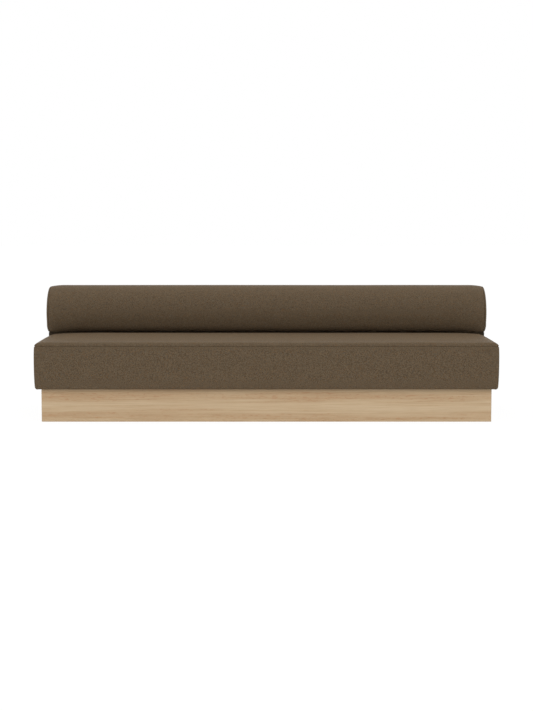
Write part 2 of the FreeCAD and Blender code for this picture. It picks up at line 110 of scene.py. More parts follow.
class Finish:
    """A material whose nodes are added one at a time, each with its inputs set or linked."""

    def __init__(self, name):
        self.material = bpy.data.materials.new(name)
        self.material.use_nodes = True
        self.tree = self.material.node_tree
        self.surface = self.tree.nodes["Principled BSDF"]

    def add(self, kind, settings=None, **inputs):
        """A node of this kind, with its settings and its inputs given by name."""
        node = self.tree.nodes.new(kind)
        for key, value in (settings or {}).items():
            setattr(node, key, value)
        for key, value in inputs.items():
            self.put(node.inputs[key.replace("_", " ")], value)
        return node

    def put(self, socket, value):
        """Sets a socket to a value, or links it to another node's output."""
        if isinstance(value, bpy.types.NodeSocket):
            self.tree.links.new(value, socket)
        else:
            socket.default_value = value

    def math(self, operation, first, second=0.0, third=0.0):
        """One sum of up to three values."""
        node = self.tree.nodes.new("ShaderNodeMath")
        node.operation = operation
        for socket, value in zip(node.inputs, (first, second, third)):
            self.put(socket, value)
        return node.outputs[0]

    def noise(self, where, scale, detail=2.0, roughness=0.5, distortion=0.0):
        """Soft random values between 0 and 1."""
        node = self.add("ShaderNodeTexNoise", Vector=where, Scale=scale, Detail=detail,
                        Roughness=roughness, Distortion=distortion)
        return node.outputs["Fac"]

    def ramp(self, value, *stops):
        """A value turned into colour, through (place, colour) stops."""
        node = self.tree.nodes.new("ShaderNodeValToRGB")
        self.put(node.inputs[0], value)
        while len(node.color_ramp.elements) < len(stops):
            node.color_ramp.elements.new(0.5)
        for element, (place, colour) in zip(node.color_ramp.elements, stops):
            element.position = place
            element.color = (*colour, 1.0)
        return node.outputs["Color"]

    def mix(self, factor, first, second, blend="MIX"):
        """Two colours mixed."""
        node = self.tree.nodes.new("ShaderNodeMix")
        node.data_type = "RGBA"
        node.blend_type = blend
        self.put(node.inputs["Factor"], factor)
        self.put(node.inputs[6], first)
        self.put(node.inputs[7], second)
        return node.outputs[2]

    def stretch(self, where, scale, offset=(0.0, 0.0, 0.0)):
        """Coordinates scaled along each axis."""
        node = self.add("ShaderNodeMapping", Vector=where)
        node.inputs["Scale"].default_value = scale
        node.inputs["Location"].default_value = offset
        return node.outputs["Vector"]

    def bump(self, height, strength, distance):
        """A relief from a height, wired into the surface."""
        node = self.add("ShaderNodeBump", Height=height, Strength=strength, Distance=distance)
        self.put(self.surface.inputs["Normal"], node.outputs["Normal"])
        return node


def linear(red, green, blue):
    """A colour as seen on screen, 0 to 255, in the scene's own units."""
    return tuple((v / 255 / 12.92) if v <= 10 else ((v / 255 + 0.055) / 1.055) ** 2.4
                 for v in (red, green, blue))


print("helpers ready")

# %% [markdown]
# ## The cloth
# The cover is a felted wool melange: yarns of brown, taupe, stone and rust are spun together, so
# the colour changes from yarn to yarn, and the face is matt with hardly any bloom. A picture of
# cloth would repeat over two metres, so the weave is drawn by formula from the piece's own UV map,
# whose unit is a metre, and the fibres, flecks and paler patches by noise of different sizes.
# Felted wool scatters light back from all over its face, which is the shader's diffuse roughness.

# %% Upholstery cloth
yarn_pitch = 2.6 * mm
yarn_wander = 1.2 * mm
weave_relief = 0.5 * mm
fibres_per_metre = 900.0
specks_per_metre = 230.0
rust_per_metre = 310.0
stone_per_metre = 290.0
patches_per_metre = 34.0
bends_per_metre = 60.0
rust_share, stone_share = 0.85, 0.8
fibre_share = 0.7


def make_cloth(name, shade=1.0):
    """The melange cloth, its colours multiplied by shade; below 1 it is a darker copy used as
    painted shade.
    """
    cloth = Finish(name)
    place = cloth.add("ShaderNodeTexCoord").outputs["Object"]
    flat = cloth.add("ShaderNodeUVMap", {"uv_map": "cloth"}).outputs["UV"]
    wander = cloth.add("ShaderNodeTexNoise", Vector=flat, Scale=bends_per_metre, Detail=1.0)
    bent = cloth.add("ShaderNodeVectorMath", {"operation": "MULTIPLY_ADD"})
    cloth.put(bent.inputs[0], wander.outputs["Color"])
    bent.inputs[1].default_value = (yarn_wander, yarn_wander, 0.0)
    cloth.put(bent.inputs[2], flat)
    split = cloth.add("ShaderNodeSeparateXYZ", Vector=bent.outputs[0])
    turn = math.pi / yarn_pitch
    warp = cloth.math("COSINE", cloth.math("MULTIPLY", split.outputs[0], turn))
    weft = cloth.math("COSINE", cloth.math("MULTIPLY", split.outputs[1], turn))
    weave = cloth.math("MULTIPLY_ADD", cloth.math("MULTIPLY", warp, weft), 0.5, 0.5)

    fibre = cloth.noise(place, fibres_per_metre, 3.0, 0.7)
    speck = cloth.noise(place, specks_per_metre, 3.0, 0.62)
    patch = cloth.noise(place, patches_per_metre, 3.0, 0.6)
    elsewhere = cloth.stretch(place, (1, 1, 1), (0.4, 0.7, 0.2))
    dark = [v * shade for v in linear(81, 66.5, 50)]
    body = [v * shade for v in linear(103.2, 88, 68.7)]
    light = [v * shade for v in linear(124.5, 109.3, 88.5)]
    rust = [v * shade for v in linear(141, 97, 52)]
    stone = [v * shade for v in linear(94, 90, 82)]
    tone = cloth.ramp(speck, (0.30, dark), (0.50, body), (0.72, light))
    flecks = cloth.ramp(cloth.noise(place, rust_per_metre, 2.0, 0.5),
                        (0.60, (0, 0, 0)), (0.72, (1, 1, 1)))
    tone = cloth.mix(cloth.math("MULTIPLY", flecks, rust_share), tone, (*rust, 1.0))
    pale = cloth.ramp(cloth.noise(elsewhere, stone_per_metre, 2.0, 0.5),
                      (0.58, (0, 0, 0)), (0.68, (1, 1, 1)))
    tone = cloth.mix(cloth.math("MULTIPLY", pale, stone_share), tone, (*stone, 1.0))
    grey = cloth.ramp(patch, (0.35, (0.97, 0.965, 0.96)), (0.65, (1.02, 1.02, 1.02)))
    tone = cloth.mix(1.0, tone, grey, "MULTIPLY")
    # Painted shade: the hollows of the weave are darkened in the colour, as if shaded between the
    # yarns.
    weave_hollow_shade = cloth.ramp(weave, (0.0, (0.80, 0.79, 0.78)), (0.7, (1.08, 1.08, 1.08)))
    tone = cloth.mix(1.0, tone, weave_hollow_shade, "MULTIPLY")
    cloth.put(cloth.surface.inputs["Base Color"], tone)
    for socket, value in (("Roughness", 0.60), ("Specular IOR Level", 0.06),
                          ("Diffuse Roughness", 0.75), ("Sheen Weight", 0.015),
                          ("Sheen Roughness", 0.40), ("Sheen Tint", (1.0, 0.80, 0.58, 1.0))):
        cloth.surface.inputs[socket].default_value = value
    height = cloth.math("ADD", weave, cloth.math("MULTIPLY", fibre, fibre_share))
    cloth.bump(height, 0.55, weave_relief)
    return cloth.material


# Painted shade: the bearer gets a much darker copy of the cloth, standing in for the shadow under
# the bolster.
painted_shade_share = 0.35
cloth = make_cloth("melange_wool")
shaded_copy_cloth = make_cloth("shaded_melange_wool", painted_shade_share)
print("cloth", cloth.name, "and", shaded_copy_cloth.name)

# %% [markdown]
# ## Oak, and the plain woods inside
# The plinth is sliced from long oak boards, so the grain runs level on every side. Wide waves
# across the board stand for the yearly growth. Noise pulled out along the board adds streaks, fine
# lines and pores, and short reddish strokes where rays come to the face. Just under the seat the
# wood carries a painted shadow, darker where the seat's overhang shades it. Boards that run front
# to back need the same pattern along Y, so the finish takes the direction of the board.

# %% Oak
oak_turns = {"along_x": (0, 1, 2), "along_y": (1, 0, 2)}
ring_width = 98 * mm
ring_middle = 104 * mm
ring_sway = 40 * mm
painted_shade_start, painted_shade_full = 142 * mm, 156 * mm
pore_relief = 0.25 * mm


def make_oak(name, along, offset):
    """Matt oiled oak with its grain along one axis."""
    oak = Finish(name)
    place = oak.add("ShaderNodeTexCoord").outputs["Object"]
    split = oak.add("ShaderNodeSeparateXYZ", Vector=place)
    join = oak.add("ShaderNodeCombineXYZ")
    for target, source in enumerate(oak_turns[along]):
        oak.put(join.inputs[target], split.outputs[source])
    grain = oak.stretch(join.outputs[0], (1.0, 1.0, 1.0), offset)
    sway = oak.noise(oak.stretch(grain, (1.7, 1.0, 3.0)), 1.0, 3.0, 0.55)
    height = oak.add("ShaderNodeSeparateXYZ", Vector=grain).outputs[2]
    level = oak.math("MULTIPLY_ADD", sway, ring_sway, height)
    turn = oak.math("MULTIPLY", oak.math("SUBTRACT", level, ring_middle), 2 * math.pi / ring_width)
    streaks = oak.noise(oak.stretch(grain, (1.3, 20.0, 62.0)), 1.0, 4.0, 0.6)
    lines = oak.noise(oak.stretch(grain, (3.2, 40.0, 170.0)), 1.0, 2.0, 0.5)
    broad = oak.noise(oak.stretch(grain, (0.8, 4.0, 17.0)), 1.0, 2.0, 0.5)
    pores = oak.noise(oak.stretch(grain, (9.0, 240.0, 420.0)), 1.0, 3.0, 0.6)
    rays = oak.noise(oak.stretch(grain, (34.0, 120.0, 190.0)), 1.0, 2.0, 0.5, 0.6)

    rings = oak.math("MULTIPLY_ADD", oak.math("COSINE", turn), 0.13, -0.20)
    rings = oak.math("ADD", rings, oak.math("MULTIPLY_ADD", streaks, 0.85, 0.075))
    rings = oak.math("MULTIPLY_ADD", broad, 0.4, rings)
    rings = oak.math("ADD", rings, oak.math("MULTIPLY_ADD", lines, 0.5, -0.25))
    tone = oak.ramp(rings, (0.20, linear(186, 155, 119)), (0.40, linear(193, 165, 130)),
                    (0.58, linear(200, 175, 141)), (0.78, linear(206, 183, 150)))
    pore = oak.ramp(pores, (0.36, (0.90, 0.875, 0.85)), (0.56, (1.01, 1.01, 1.01)))
    tone = oak.mix(0.8, tone, pore, "MULTIPLY")
    ray = oak.math("MULTIPLY", oak.ramp(rays, (0.54, (0, 0, 0)), (0.66, (1, 1, 1))),
                   oak.ramp(rings, (0.34, (0.75, 0.75, 0.75)), (0.52, (0, 0, 0))))
    tone = oak.mix(ray, tone, (*linear(178, 136, 98), 1.0))
    # Painted shadow: the top of each board is darkened by height, standing in for the shade under
    # the seat's overhang.
    painted_seat_shadow = oak.ramp(oak.add("ShaderNodeSeparateXYZ", Vector=place).outputs[2],
                          (painted_shade_start, (1, 1, 1)), (painted_shade_full, (0.85, 0.82, 0.78)))
    tone = oak.mix(1.0, tone, painted_seat_shadow, "MULTIPLY")
    oak.put(oak.surface.inputs["Base Color"], tone)
    rough = oak.math("MULTIPLY_ADD", pores, -0.12, 0.62)
    oak.put(oak.surface.inputs["Roughness"], rough)
    oak.surface.inputs["Specular IOR Level"].default_value = 0.35
    oak.bump(pores, 0.25, pore_relief)
    return oak.material


oak_front = make_oak("oak_front_and_back", "along_x", (0.0, 0.0, 0.0))
oak_side = make_oak("oak_sides", "along_y", (3.7, 0.4, 0.13))
for side in ("front", "back", "left", "right"):
    board = frame["nodes"][f"plinth_board_{side}"]
    board.data.materials.clear()
    board.data.materials.append(oak_front if side in ("front", "back") else oak_side)
print("oak on four boards")

# %% [markdown]
# ## Everything inside
# Turn the bench over and one sees pine ribs and cleats, screws, and the black dust cloth; take the
# cloth off and there are posts, webbing and foam. These pieces get plain shop finishes. One
# function makes each of them from two colours, a roughness and the fineness of its grain along the
# three axes, because they differ in little else. Pine that runs front to back has its grain turned.

# %% Plain finishes
rough_range = 0.16


def make_plain(name, first, second, grain, roughness, metallic=0.0, relief=0.2 * mm):
    """Two close colours mottled by stretched noise, with a fine relief."""
    plain = Finish(name)
    place = plain.add("ShaderNodeTexCoord").outputs["Object"]
    value = plain.noise(plain.stretch(place, grain), 1.0, 4.0, 0.6)
    rough = plain.math("MULTIPLY_ADD", value, rough_range, roughness - rough_range / 2)
    plain.put(plain.surface.inputs["Base Color"], plain.ramp(value, (0.35, first), (0.65, second)))
    plain.put(plain.surface.inputs["Roughness"], rough)
    plain.surface.inputs["Metallic"].default_value = metallic
    plain.bump(value, 0.3, relief)
    return plain.material


pine_colours = linear(196, 160, 112), linear(222, 190, 143)
pine = make_plain("pine", *pine_colours, (6, 60, 130), 0.6)
pine_across = make_plain("pine_across", *pine_colours, (60, 6, 130), 0.6)
beech = make_plain("beech", linear(190, 150, 110), linear(208, 170, 130), (90, 90, 30), 0.55)
plywood = make_plain("plywood", linear(188, 156, 112), linear(212, 182, 138), (20, 30, 500), 0.6)
nylon = make_plain("nylon", linear(34, 32, 30), linear(44, 42, 40), (400, 400, 400), 0.5)
zinc = make_plain("zinc_plate", linear(176, 176, 172), linear(202, 202, 198),
                  (300, 300, 300), 0.35, metallic=1.0)
black_steel = make_plain("black_powder_coat", linear(26, 26, 27), linear(36, 36, 37),
                         (900, 900, 900), 0.5)
webbing = make_plain("webbing", linear(60, 50, 40), linear(92, 78, 62), (500, 500, 500), 0.85)
foam = make_plain("foam", linear(222, 214, 188), linear(236, 229, 206), (450, 450, 450), 0.95,
                  relief=0.6 * mm)
finish_of_slot = {"softwood": pine, "beech": beech, "plywood": plywood, "nylon": nylon,
                  "zinc_steel": zinc, "black_steel": black_steel, "webbing": webbing, "foam": foam,
                  "upholstery_cloth": cloth}
dressed = 0
for entry in frame["record"]["subparts"]:
    finish = finish_of_slot.get(entry["material_slot"])
    low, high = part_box(entry["node"])
    if finish == pine and high[1] - low[1] > high[0] - low[0]:
        finish = pine_across
    if finish:
        materials = frame["nodes"][entry["node"]].data.materials
        materials.clear()
        materials.append(finish)
        dressed += 1
print("finished", dressed, "inner nodes")

# %% [markdown]
# ## Tools for soft shapes
# Upholstery is never quite flat. A seam pulls its cloth in, the cloth beside a seam puckers a
# little, and wide panels undulate over the foam. Each effect is a short formula that later steps
# add to a plain shape, because it then lands exactly on the seams. A short cloth simulation comes
# after it and lets the filling press the panels out between their seams.

# %% Soft shape helpers
seam_pull = 4.5 * mm
seam_half_width = 1.25 * mm
pucker_reach = 15 * mm
pucker_height = 0.35 * mm
pucker_start = 2 * mm
coarse_puckers, fine_puckers = 38, 85
fill_pressure = 4.0
press_frames = 20
seat_room, seat_swell = 2.2 * mm, 2.6 * mm
bolster_room, bolster_swell = 1.4 * mm, 2.4 * mm
coordinate_digits = 5
hair = 0.01 * mm


def seam_dip(distance):
    """How far a seam draws the cloth in, at a distance from its line."""
    return seam_pull * math.exp(-(distance / seam_half_width) ** 2)


def pucker(along, distance, seed):
    """Small uneven ripples across a seam, fading away from it."""
    ripple = noise.noise(Vector((along * coarse_puckers, seed, 0)))
    ripple += 0.5 * noise.noise(Vector((along * fine_puckers, seed, 4)))
    fade = math.exp(-distance / pucker_reach) * min(1.0, distance / pucker_start)
    return pucker_height * ripple * fade


def wave(point, height, scale):
    """Wide soft waves over a panel."""
    return height * noise.noise(Vector(point) * scale)


def spread(half, edge_steps, middle_step):
    """Places from -half to half: the given steps at both ends, even steps between."""
    start = half - edge_steps[-1]
    count = max(1, round(2 * start / middle_step))
    low = [step - half for step in edge_steps[:-1]]
    middle = [2 * start * k / count - start for k in range(count + 1)]
    return low + middle + [-v for v in reversed(low)]


def ring_steps(seam_steps, middle_step, length):
    """Distances from 0 to length: the given steps first, then even ones."""
    start = seam_steps[-1]
    count = max(1, round((length - start) / middle_step))
    return seam_steps + [start + (length - start) * (k + 1) / count for k in range(count)]


def finish_mesh(bm, name, material):
    """A bmesh as a smooth-shaded object that rides on the bench."""
    mesh = bpy.data.meshes.new(name)
    bm.to_mesh(mesh)
    bm.free()
    mesh.materials.append(material)
    mesh.polygons.foreach_set("use_smooth", [True] * len(mesh.polygons))
    piece = bpy.data.objects.new(name, mesh)
    bpy.context.collection.objects.link(piece)
    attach(piece, "root")
    return piece


def sew_uv(bm, place):
    """A UV map in metres: place(face, vert) gives the cloth's own coordinates."""
    layer = bm.loops.layers.uv.new("cloth")
    for face in bm.faces:
        for corner in face.loops:
            corner[layer].uv = place(face, corner.vert)


def ease(distance, start, run):
    """0 up to a start, 1 beyond the run after it, with a smooth rise between."""
    share = min(1.0, max(0.0, (distance - start) / run))
    return share * share * (3 - 2 * share)


def swell(piece, room, limit):
    """Lets the filling press the cloth outward for a moment: a short cloth simulation.

    The piece starts smaller by the room and may then move out by the limit. Its "free" values say
    how much of both each point gets. Where that is 0, at the seams and where the piece rests on
    something, the cloth is held.
    """
    timeline = bpy.context.scene
    free = [item.value for item in piece.data.attributes["free"].data]
    inward = [vert.normal * -room * share for vert, share in zip(piece.data.vertices, free)]
    for vert, shift in zip(piece.data.vertices, inward):
        vert.co += shift
    held = piece.vertex_groups.new(name="held")
    held.add([index for index, share in enumerate(free) if share <= 0], 1.0, "REPLACE")
    press = piece.modifiers.new("press", "CLOTH")
    press.settings.vertex_group_mass = held.name
    press.settings.use_pressure = True
    press.settings.uniform_pressure_force = fill_pressure
    press.settings.effector_weights.gravity = 0.0
    press.collision_settings.use_collision = False
    press.point_cache.frame_start, press.point_cache.frame_end = 1, press_frames
    for moment in range(1, press_frames + 1):
        timeline.frame_set(moment)
    pressed = piece.evaluated_get(bpy.context.evaluated_depsgraph_get())
    moved = [vert.co.copy() for vert in pressed.data.vertices]
    piece.modifiers.remove(press)
    piece.vertex_groups.remove(held)
    furthest = 0.0
    for vert, place, share in zip(piece.data.vertices, moved, free):
        shift = place - vert.co
        most = limit * share
        if shift.length > most:
            shift *= most / shift.length
        furthest = max(furthest, shift.length)
        vert.co = [round(v, coordinate_digits) for v in vert.co + shift]
    timeline.frame_set(1)
    print(piece.name, "swelled by up to", round(furthest / mm, 2), "mm")


def smooth_once(piece):
    """One live subdivision, the same in the view and the render."""
    modifier = piece.modifiers.new("smooth", "SUBSURF")
    modifier.levels = modifier.render_levels = 1
    modifier.uv_smooth = "NONE"


print("soft tools ready")

# %% [markdown]
# ## The seat cover, top panel
# The cover is a top panel sewn to an upright border, and the border is turned under the frame and
# stapled. All of it is made from one grid, whose rows lie close together at the seam, where the
# cloth bends most, and wide apart in the flat middle. The plan corners are squares eased into
# rounds by a superellipse: one formula moves whole grid lines, so no extra faces are needed. Along
# the back the panel dips into a narrow channel, in which the bearer of the bolster lies.

# %% Seat sizes
top_low, top_high = box_of("seat_cover_top")
border_low, border_high = box_of("seat_cover_border_front", "seat_cover_border_left",
                                 "seat_cover_border_right", "seat_cover_border_back")
seam_z = top_low.z
hem_z = border_low.z
seat_half_x = top_high.x
seat_half_y = top_high.y
roll_run_x = 36 * mm
roll_run_y = 20 * mm
roll_rise = 21 * mm
crown = top_high.z - seam_z - roll_rise
roll_power = 2.2
corner_power = 9.0
panel_step = 18 * mm
seam_steps = [v * mm for v in (0, 0.03, 0.15, 0.5, 1.2, 2.6, 5, 9, 14, 20, 28, 36, 48)]
bearer_low, bearer_high = box_of("bearer_cover")
bearer_half_y = (bearer_high.y - bearer_low.y) / 2
bearer_y = (bearer_high.y + bearer_low.y) / 2
bearer_gap = 0.3 * mm
channel_rise = bearer_low.z - bearer_gap - seam_z
channel_half = bearer_half_y + bearer_gap
groove_run = 48 * mm
groove_crest = 62 * mm
groove_swell = 2.0 * mm
groove_drop = 4.2 * mm
end_dip = 11 * mm
end_dip_run = 50 * mm
end_dip_depth = 175 * mm
lip_shares = ((6 * mm, 0.0), (3 * mm, 0.04), (1.4 * mm, 0.14), (0.4 * mm, 0.38), (0.0, 1.0))
lip_steps = [12 * mm, 20 * mm, 30 * mm, 42 * mm]
row_clearance = 4 * mm
calm_by_seam, calm_by_channel = 25 * mm, 60 * mm
broad_wave, broad_per_metre = 1.5 * mm, 3.1
small_wave, small_per_metre = 0.5 * mm, 11
top_slant, border_slant = 1.3, 1.7
free_by_seam, free_by_channel = (20 * mm, 80 * mm), (30 * mm, 60 * mm)
print("seat", round(2 * seat_half_x, 3), "x", round(2 * seat_half_y, 3),
      "seam at", round(seam_z, 3))


def edge_reach(x, y):
    """0 inside the edge roll, 1 on the seam, and the shares of it along X and Y."""
    near_x = max(0.0, 1 - (seat_half_x - abs(x)) / roll_run_x)
    near_y = max(0.0, 1 - (seat_half_y - abs(y)) / roll_run_y)
    return max(near_x, near_y), near_x, near_y


def seat_rise(x, y, reach):
    """Height of the top panel above its seam."""
    inward_x = max(0.0, 1 - (seat_half_x - abs(x)) / seat_half_y)
    middle = 1 - max(inward_x, abs(y) / seat_half_y) ** 2
    beside = max(0.0, abs(y - bearer_y) - channel_half)
    tuck_in = (1 - min(1.0, beside / groove_run)) ** 2
    swell = math.exp(-((beside - groove_crest) / groove_run) ** 2)
    dip = end_dip * math.exp(-beside / end_dip_depth - (seat_half_x - abs(x)) / end_dip_run)
    roll = (1 - min(1.0, reach) ** roll_power) ** (1 / roll_power)
    return ((roll_rise - dip) * roll
            + (crown * middle + groove_swell * swell - groove_drop * tuck_in) * (1 - reach))


def channel_share(y):
    """0 on the seat, 1 down in the bearer's channel, between them along the channel's lip."""
    outside = abs(y - bearer_y) - channel_half
    for distance, share in lip_shares:
        if outside >= distance - hair:
            return share
    return 1.0


def add_rows(places, extra, clear):
    """The places with extra ones among them, less those that stand too close to an extra one."""
    kept = [v for v in places if min(abs(v - e) for e in extra) > clear]
    return sorted(kept + extra)


# %% Seat cover, top panel
xs = spread(seat_half_x, seam_steps, panel_step)
lips = [bearer_y + side * (channel_half + distance) for side in (-1, 1)
        for distance in [pair[0] for pair in lip_shares] + lip_steps]
ys = add_rows(spread(seat_half_y, seam_steps, panel_step), lips, row_clearance)
seat = bmesh.new()
bmesh.ops.create_grid(seat, x_segments=len(xs) - 1, y_segments=len(ys) - 1, size=1.0)
flat_x = seat.verts.layers.float.new("flat_x")
flat_y = seat.verts.layers.float.new("flat_y")
drop_of = seat.verts.layers.float.new("drop")
free_of = seat.verts.layers.float.new("free")
for vert in seat.verts:
    x = xs[round((vert.co.x + 1) / 2 * (len(xs) - 1))]
    y = ys[round((vert.co.y + 1) / 2 * (len(ys) - 1))]
    vert[flat_x], vert[flat_y] = x, y
    reach, near_x, near_y = edge_reach(x, y)
    distance = min(seat_half_x - abs(x), seat_half_y - abs(y))
    if near_x and near_y:
        shrink = 1 - reach / (near_x ** corner_power + near_y ** corner_power) ** (1 / corner_power)
        x -= math.copysign(roll_run_x * near_x * shrink, x)
        y -= math.copysign(roll_run_y * near_y * shrink, y)
    beside = max(0.0, abs(y - bearer_y) - channel_half)
    calm = min(1.0, distance / calm_by_seam) * min(1.0, beside / calm_by_channel)
    vert[free_of] = ease(distance, *free_by_seam) * ease(beside, *free_by_channel)
    rise = seat_rise(vert[flat_x], vert[flat_y], reach)
    rise += calm * (wave((x, y, 0.3), broad_wave, broad_per_metre)
                    + wave((x, y, 2.3), small_wave, small_per_metre))
    rise += (min(rise, channel_rise) - rise) * channel_share(vert[flat_y])
    arc = distance + rise if reach > 0 else 1.0
    rise += pucker(x + top_slant * y, arc, 1.0)
    dip = seam_dip(arc)
    vert.co = (x - dip * near_x * (x > 0) + dip * near_x * (x < 0),
               y - dip * near_y * (y > 0) + dip * near_y * (y < 0), seam_z + rise)
print("top panel", len(seat.faces), "faces")

# %% [markdown]
# ## The seat cover, border and hem
# The rim of the grid is extruded down, ring by ring. Below the seam the foam pushes the border out
# by a few millimetres, and further down the cloth is pulled in to the frame, rolls round its bottom
# edge, where it hangs a little lower, and runs 60 mm inward, where staples hold it under the dust
# cloth. At each corner a short upright seam joins two strips of the border.

# %% Seat cover, border and hem
border_height = seam_z - hem_z
hem_roll = 14 * mm
hem_width = 60 * mm
hem_hang = 1.0 * mm
hang_end, seated_start, staple_margin = 8 * mm, 34 * mm, 1 * mm
border_draw = 0.3 * mm
border_stand = border_high.x - seat_half_x - border_draw
border_fall = 3.6 * mm
border_fall_power = 4.5
stand_share = 0.085
border_steps = [v * mm for v in (0.65, 1.4, 2.4, 4, 7, 12, 20)]
border_step = 16 * mm
border_wave, border_wave_start, border_per_metre = 0.45 * mm, 40 * mm, 4
free_by_hem = 12 * mm, 60 * mm
corner_seam_share = 0.25
upright = border_height - hem_roll


def border_offset(drop):
    """How far the border stands outside the seam line, at a drop below it."""
    share = drop / upright
    stand = border_stand * (1 - math.exp(-share / stand_share))
    return stand - border_fall * share ** border_fall_power


tuck = border_offset(upright)
rings = [(drop, border_offset(drop)) for drop in ring_steps(border_steps, border_step, upright)]
for angle in (22.5, 45, 67.5, 90):
    turn = math.radians(angle)
    rings.append((upright + (hem_roll + hem_hang) * math.sin(turn),
                  tuck - hem_roll * (1 - math.cos(turn))))
rings.append((border_height + hem_hang, -hem_roll - hang_end))
for inward in (seated_start, hem_width - staple_margin):
    rings.append((border_height, -inward))


def rim_key(vert):
    """The same key for every point above or below one point of the rim."""
    return round(vert[flat_x] / hair), round(vert[flat_y] / hair)


rim = [edge for edge in seat.edges if edge.is_boundary]
plan = {}
for vert in {vert for edge in rim for vert in edge.verts}:
    x, y = vert[flat_x], vert[flat_y]
    _, near_x, near_y = edge_reach(x, y)
    pull_x, pull_y = near_x ** corner_power, near_y ** corner_power
    outward = Vector((math.copysign(pull_x, x), math.copysign(pull_y, y)))
    outward.normalize()
    shrink = 1 - 1 / (pull_x + pull_y) ** (1 / corner_power)
    base = Vector((x - math.copysign(roll_run_x * near_x * shrink, x),
                   y - math.copysign(roll_run_y * near_y * shrink, y)))
    from_corner = math.hypot(seat_half_x - abs(x), seat_half_y - abs(y))
    plan[rim_key(vert)] = (base, outward, from_corner)

for drop, offset in rings:
    made = bmesh.ops.extrude_edge_only(seat, edges=rim)["geom"]
    rim = [item for item in made if isinstance(item, bmesh.types.BMEdge) and item.is_boundary]
    for vert in {vert for edge in rim for vert in edge.verts}:
        base, outward, from_corner = plan[rim_key(vert)]
        along = base.x + border_slant * base.y
        out = offset
        if drop < upright:
            out += pucker(along, drop, 2.0) - seam_dip(drop)
            out -= corner_seam_share * seam_dip(from_corner)
            calm = min(1.0, drop / border_wave_start)
            out += calm * wave((base.x, base.y, drop), border_wave, border_per_metre)
        vert[drop_of] = drop
        vert[free_of] = (ease(drop, *free_by_hem) * ease(upright - drop, *free_by_hem)
                         * ease(from_corner, *free_by_seam))
        if offset < -hem_roll - border_fall:
            base = Vector((vert[flat_x], vert[flat_y]))
            vert.co = (math.copysign(min(abs(base.x), seat_half_x + offset), base.x),
                       math.copysign(min(abs(base.y), seat_half_y + offset), base.y), seam_z - drop)
        else:
            vert.co = (base.x + outward.x * out, base.y + outward.y * out, seam_z - drop)
bmesh.ops.remove_doubles(seat, verts=seat.verts, dist=2 * hair)
bmesh.ops.recalc_face_normals(seat, faces=seat.faces)
print("seat cover", len(seat.faces), "faces")


def seat_cloth_place(face, vert):
    """Flat place on the cloth: the top panel as it lies, the border unrolled below it."""
    x, y, drop = vert[flat_x], vert[flat_y], vert[drop_of]
    if max(corner.vert[drop_of] for corner in face.loops) == 0:
        return x, y
    normal = face.normal
    return (x, -drop) if abs(normal.y) >= abs(normal.x) else (y, -drop)


seat.normal_update()
sew_uv(seat, seat_cloth_place)
seat_cover = finish_mesh(seat, "seat_cover", cloth)

# %% [markdown]
# ## The bolster
# A bolster is a tube of cloth round a foam roll, closed at each end by a round cap. A circle is
# extruded ring by ring from the middle of one cap to the middle of the other, which gives clean
# round seams. The foam tapers slightly toward the end seams because they are sewn tight. Between
# them its own weight has spread the underside, which lies flat on the bearer, and the filling of
# the caps has sunk a little. The closing seam runs along the back, low down.

# %% Bolster sizes
cover_low, cover_high = box_of("bolster_cover")
bolster_radius = 138 * mm
bolster_y = (cover_low.y + cover_high.y) / 2
bolster_z = cover_high.z - bolster_radius
bolster_floor = cover_low.z
end_seam = cover_high.x
end_draw = 8 * mm
draw_run = 90 * mm
shoulder = 20 * mm
shoulder_rise = 13 * mm
dome = 5 * mm
end_lean = 0.004
foot_spread, foot_slope, foot_start = 2.2 * mm, 5, 2.75
firm_run = 160 * mm
settled_power = 2.5
press_softness = 1.6 * mm
cap_sag = 0.14
closing_seam_share = 0.75
tube_steps = [v * mm for v in (0, 0.6, 1.3, 2.4, 4.5, 9, 15, 24, 36, 52, 70, 90)]
tube_step = 17 * mm
tube_wave, tube_wave_start, tube_per_radius = 0.9 * mm, 60 * mm, 2.6
pucker_radius = 0.14
other_end = 3
free_by_floor = 15 * mm, 60 * mm
around = 128
closing_seam = -11 * 2 * math.pi / around
seam_gather = math.radians(8)


def from_closing_seam(turn):
    """The angle from the closing seam, between -pi and pi."""
    return (turn - closing_seam + math.pi) % (2 * math.pi) - math.pi


def gathered(turn):
    """An angle on the ring moved toward the closing seam, where the cloth needs more points."""
    away = from_closing_seam(turn)
    away *= 1 - math.exp(-abs(away) / seam_gather)
    return (closing_seam + away + math.pi) % (2 * math.pi) - math.pi


def tube_radius(x):
    """Radius of the tube at a place along it, seams included."""
    inside = end_seam - abs(x)
    draw = max(0.0, 1 - inside / draw_run)
    return bolster_radius - end_draw * draw ** 2 - seam_dip(inside)


def settled(rise, turn):
    """A cap's rise where its filling has sunk a little toward the bottom."""
    return rise * (1 - cap_sag * math.sin(turn))


def settled_height(turn, inside):
    """Height on a ring of radius 1, where the roll's underside has spread under its own weight."""
    height = math.sin(turn)
    if height >= 0 or inside <= 0:
        return height
    spread_out = (1 - abs(math.cos(turn)) ** settled_power) ** (1 / settled_power)
    share = min(1.0, inside / firm_run)
    share *= share * (3 - 2 * share)
    floor_share = (bolster_z - bolster_floor) / bolster_radius
    return height - share * (height + floor_share * spread_out)


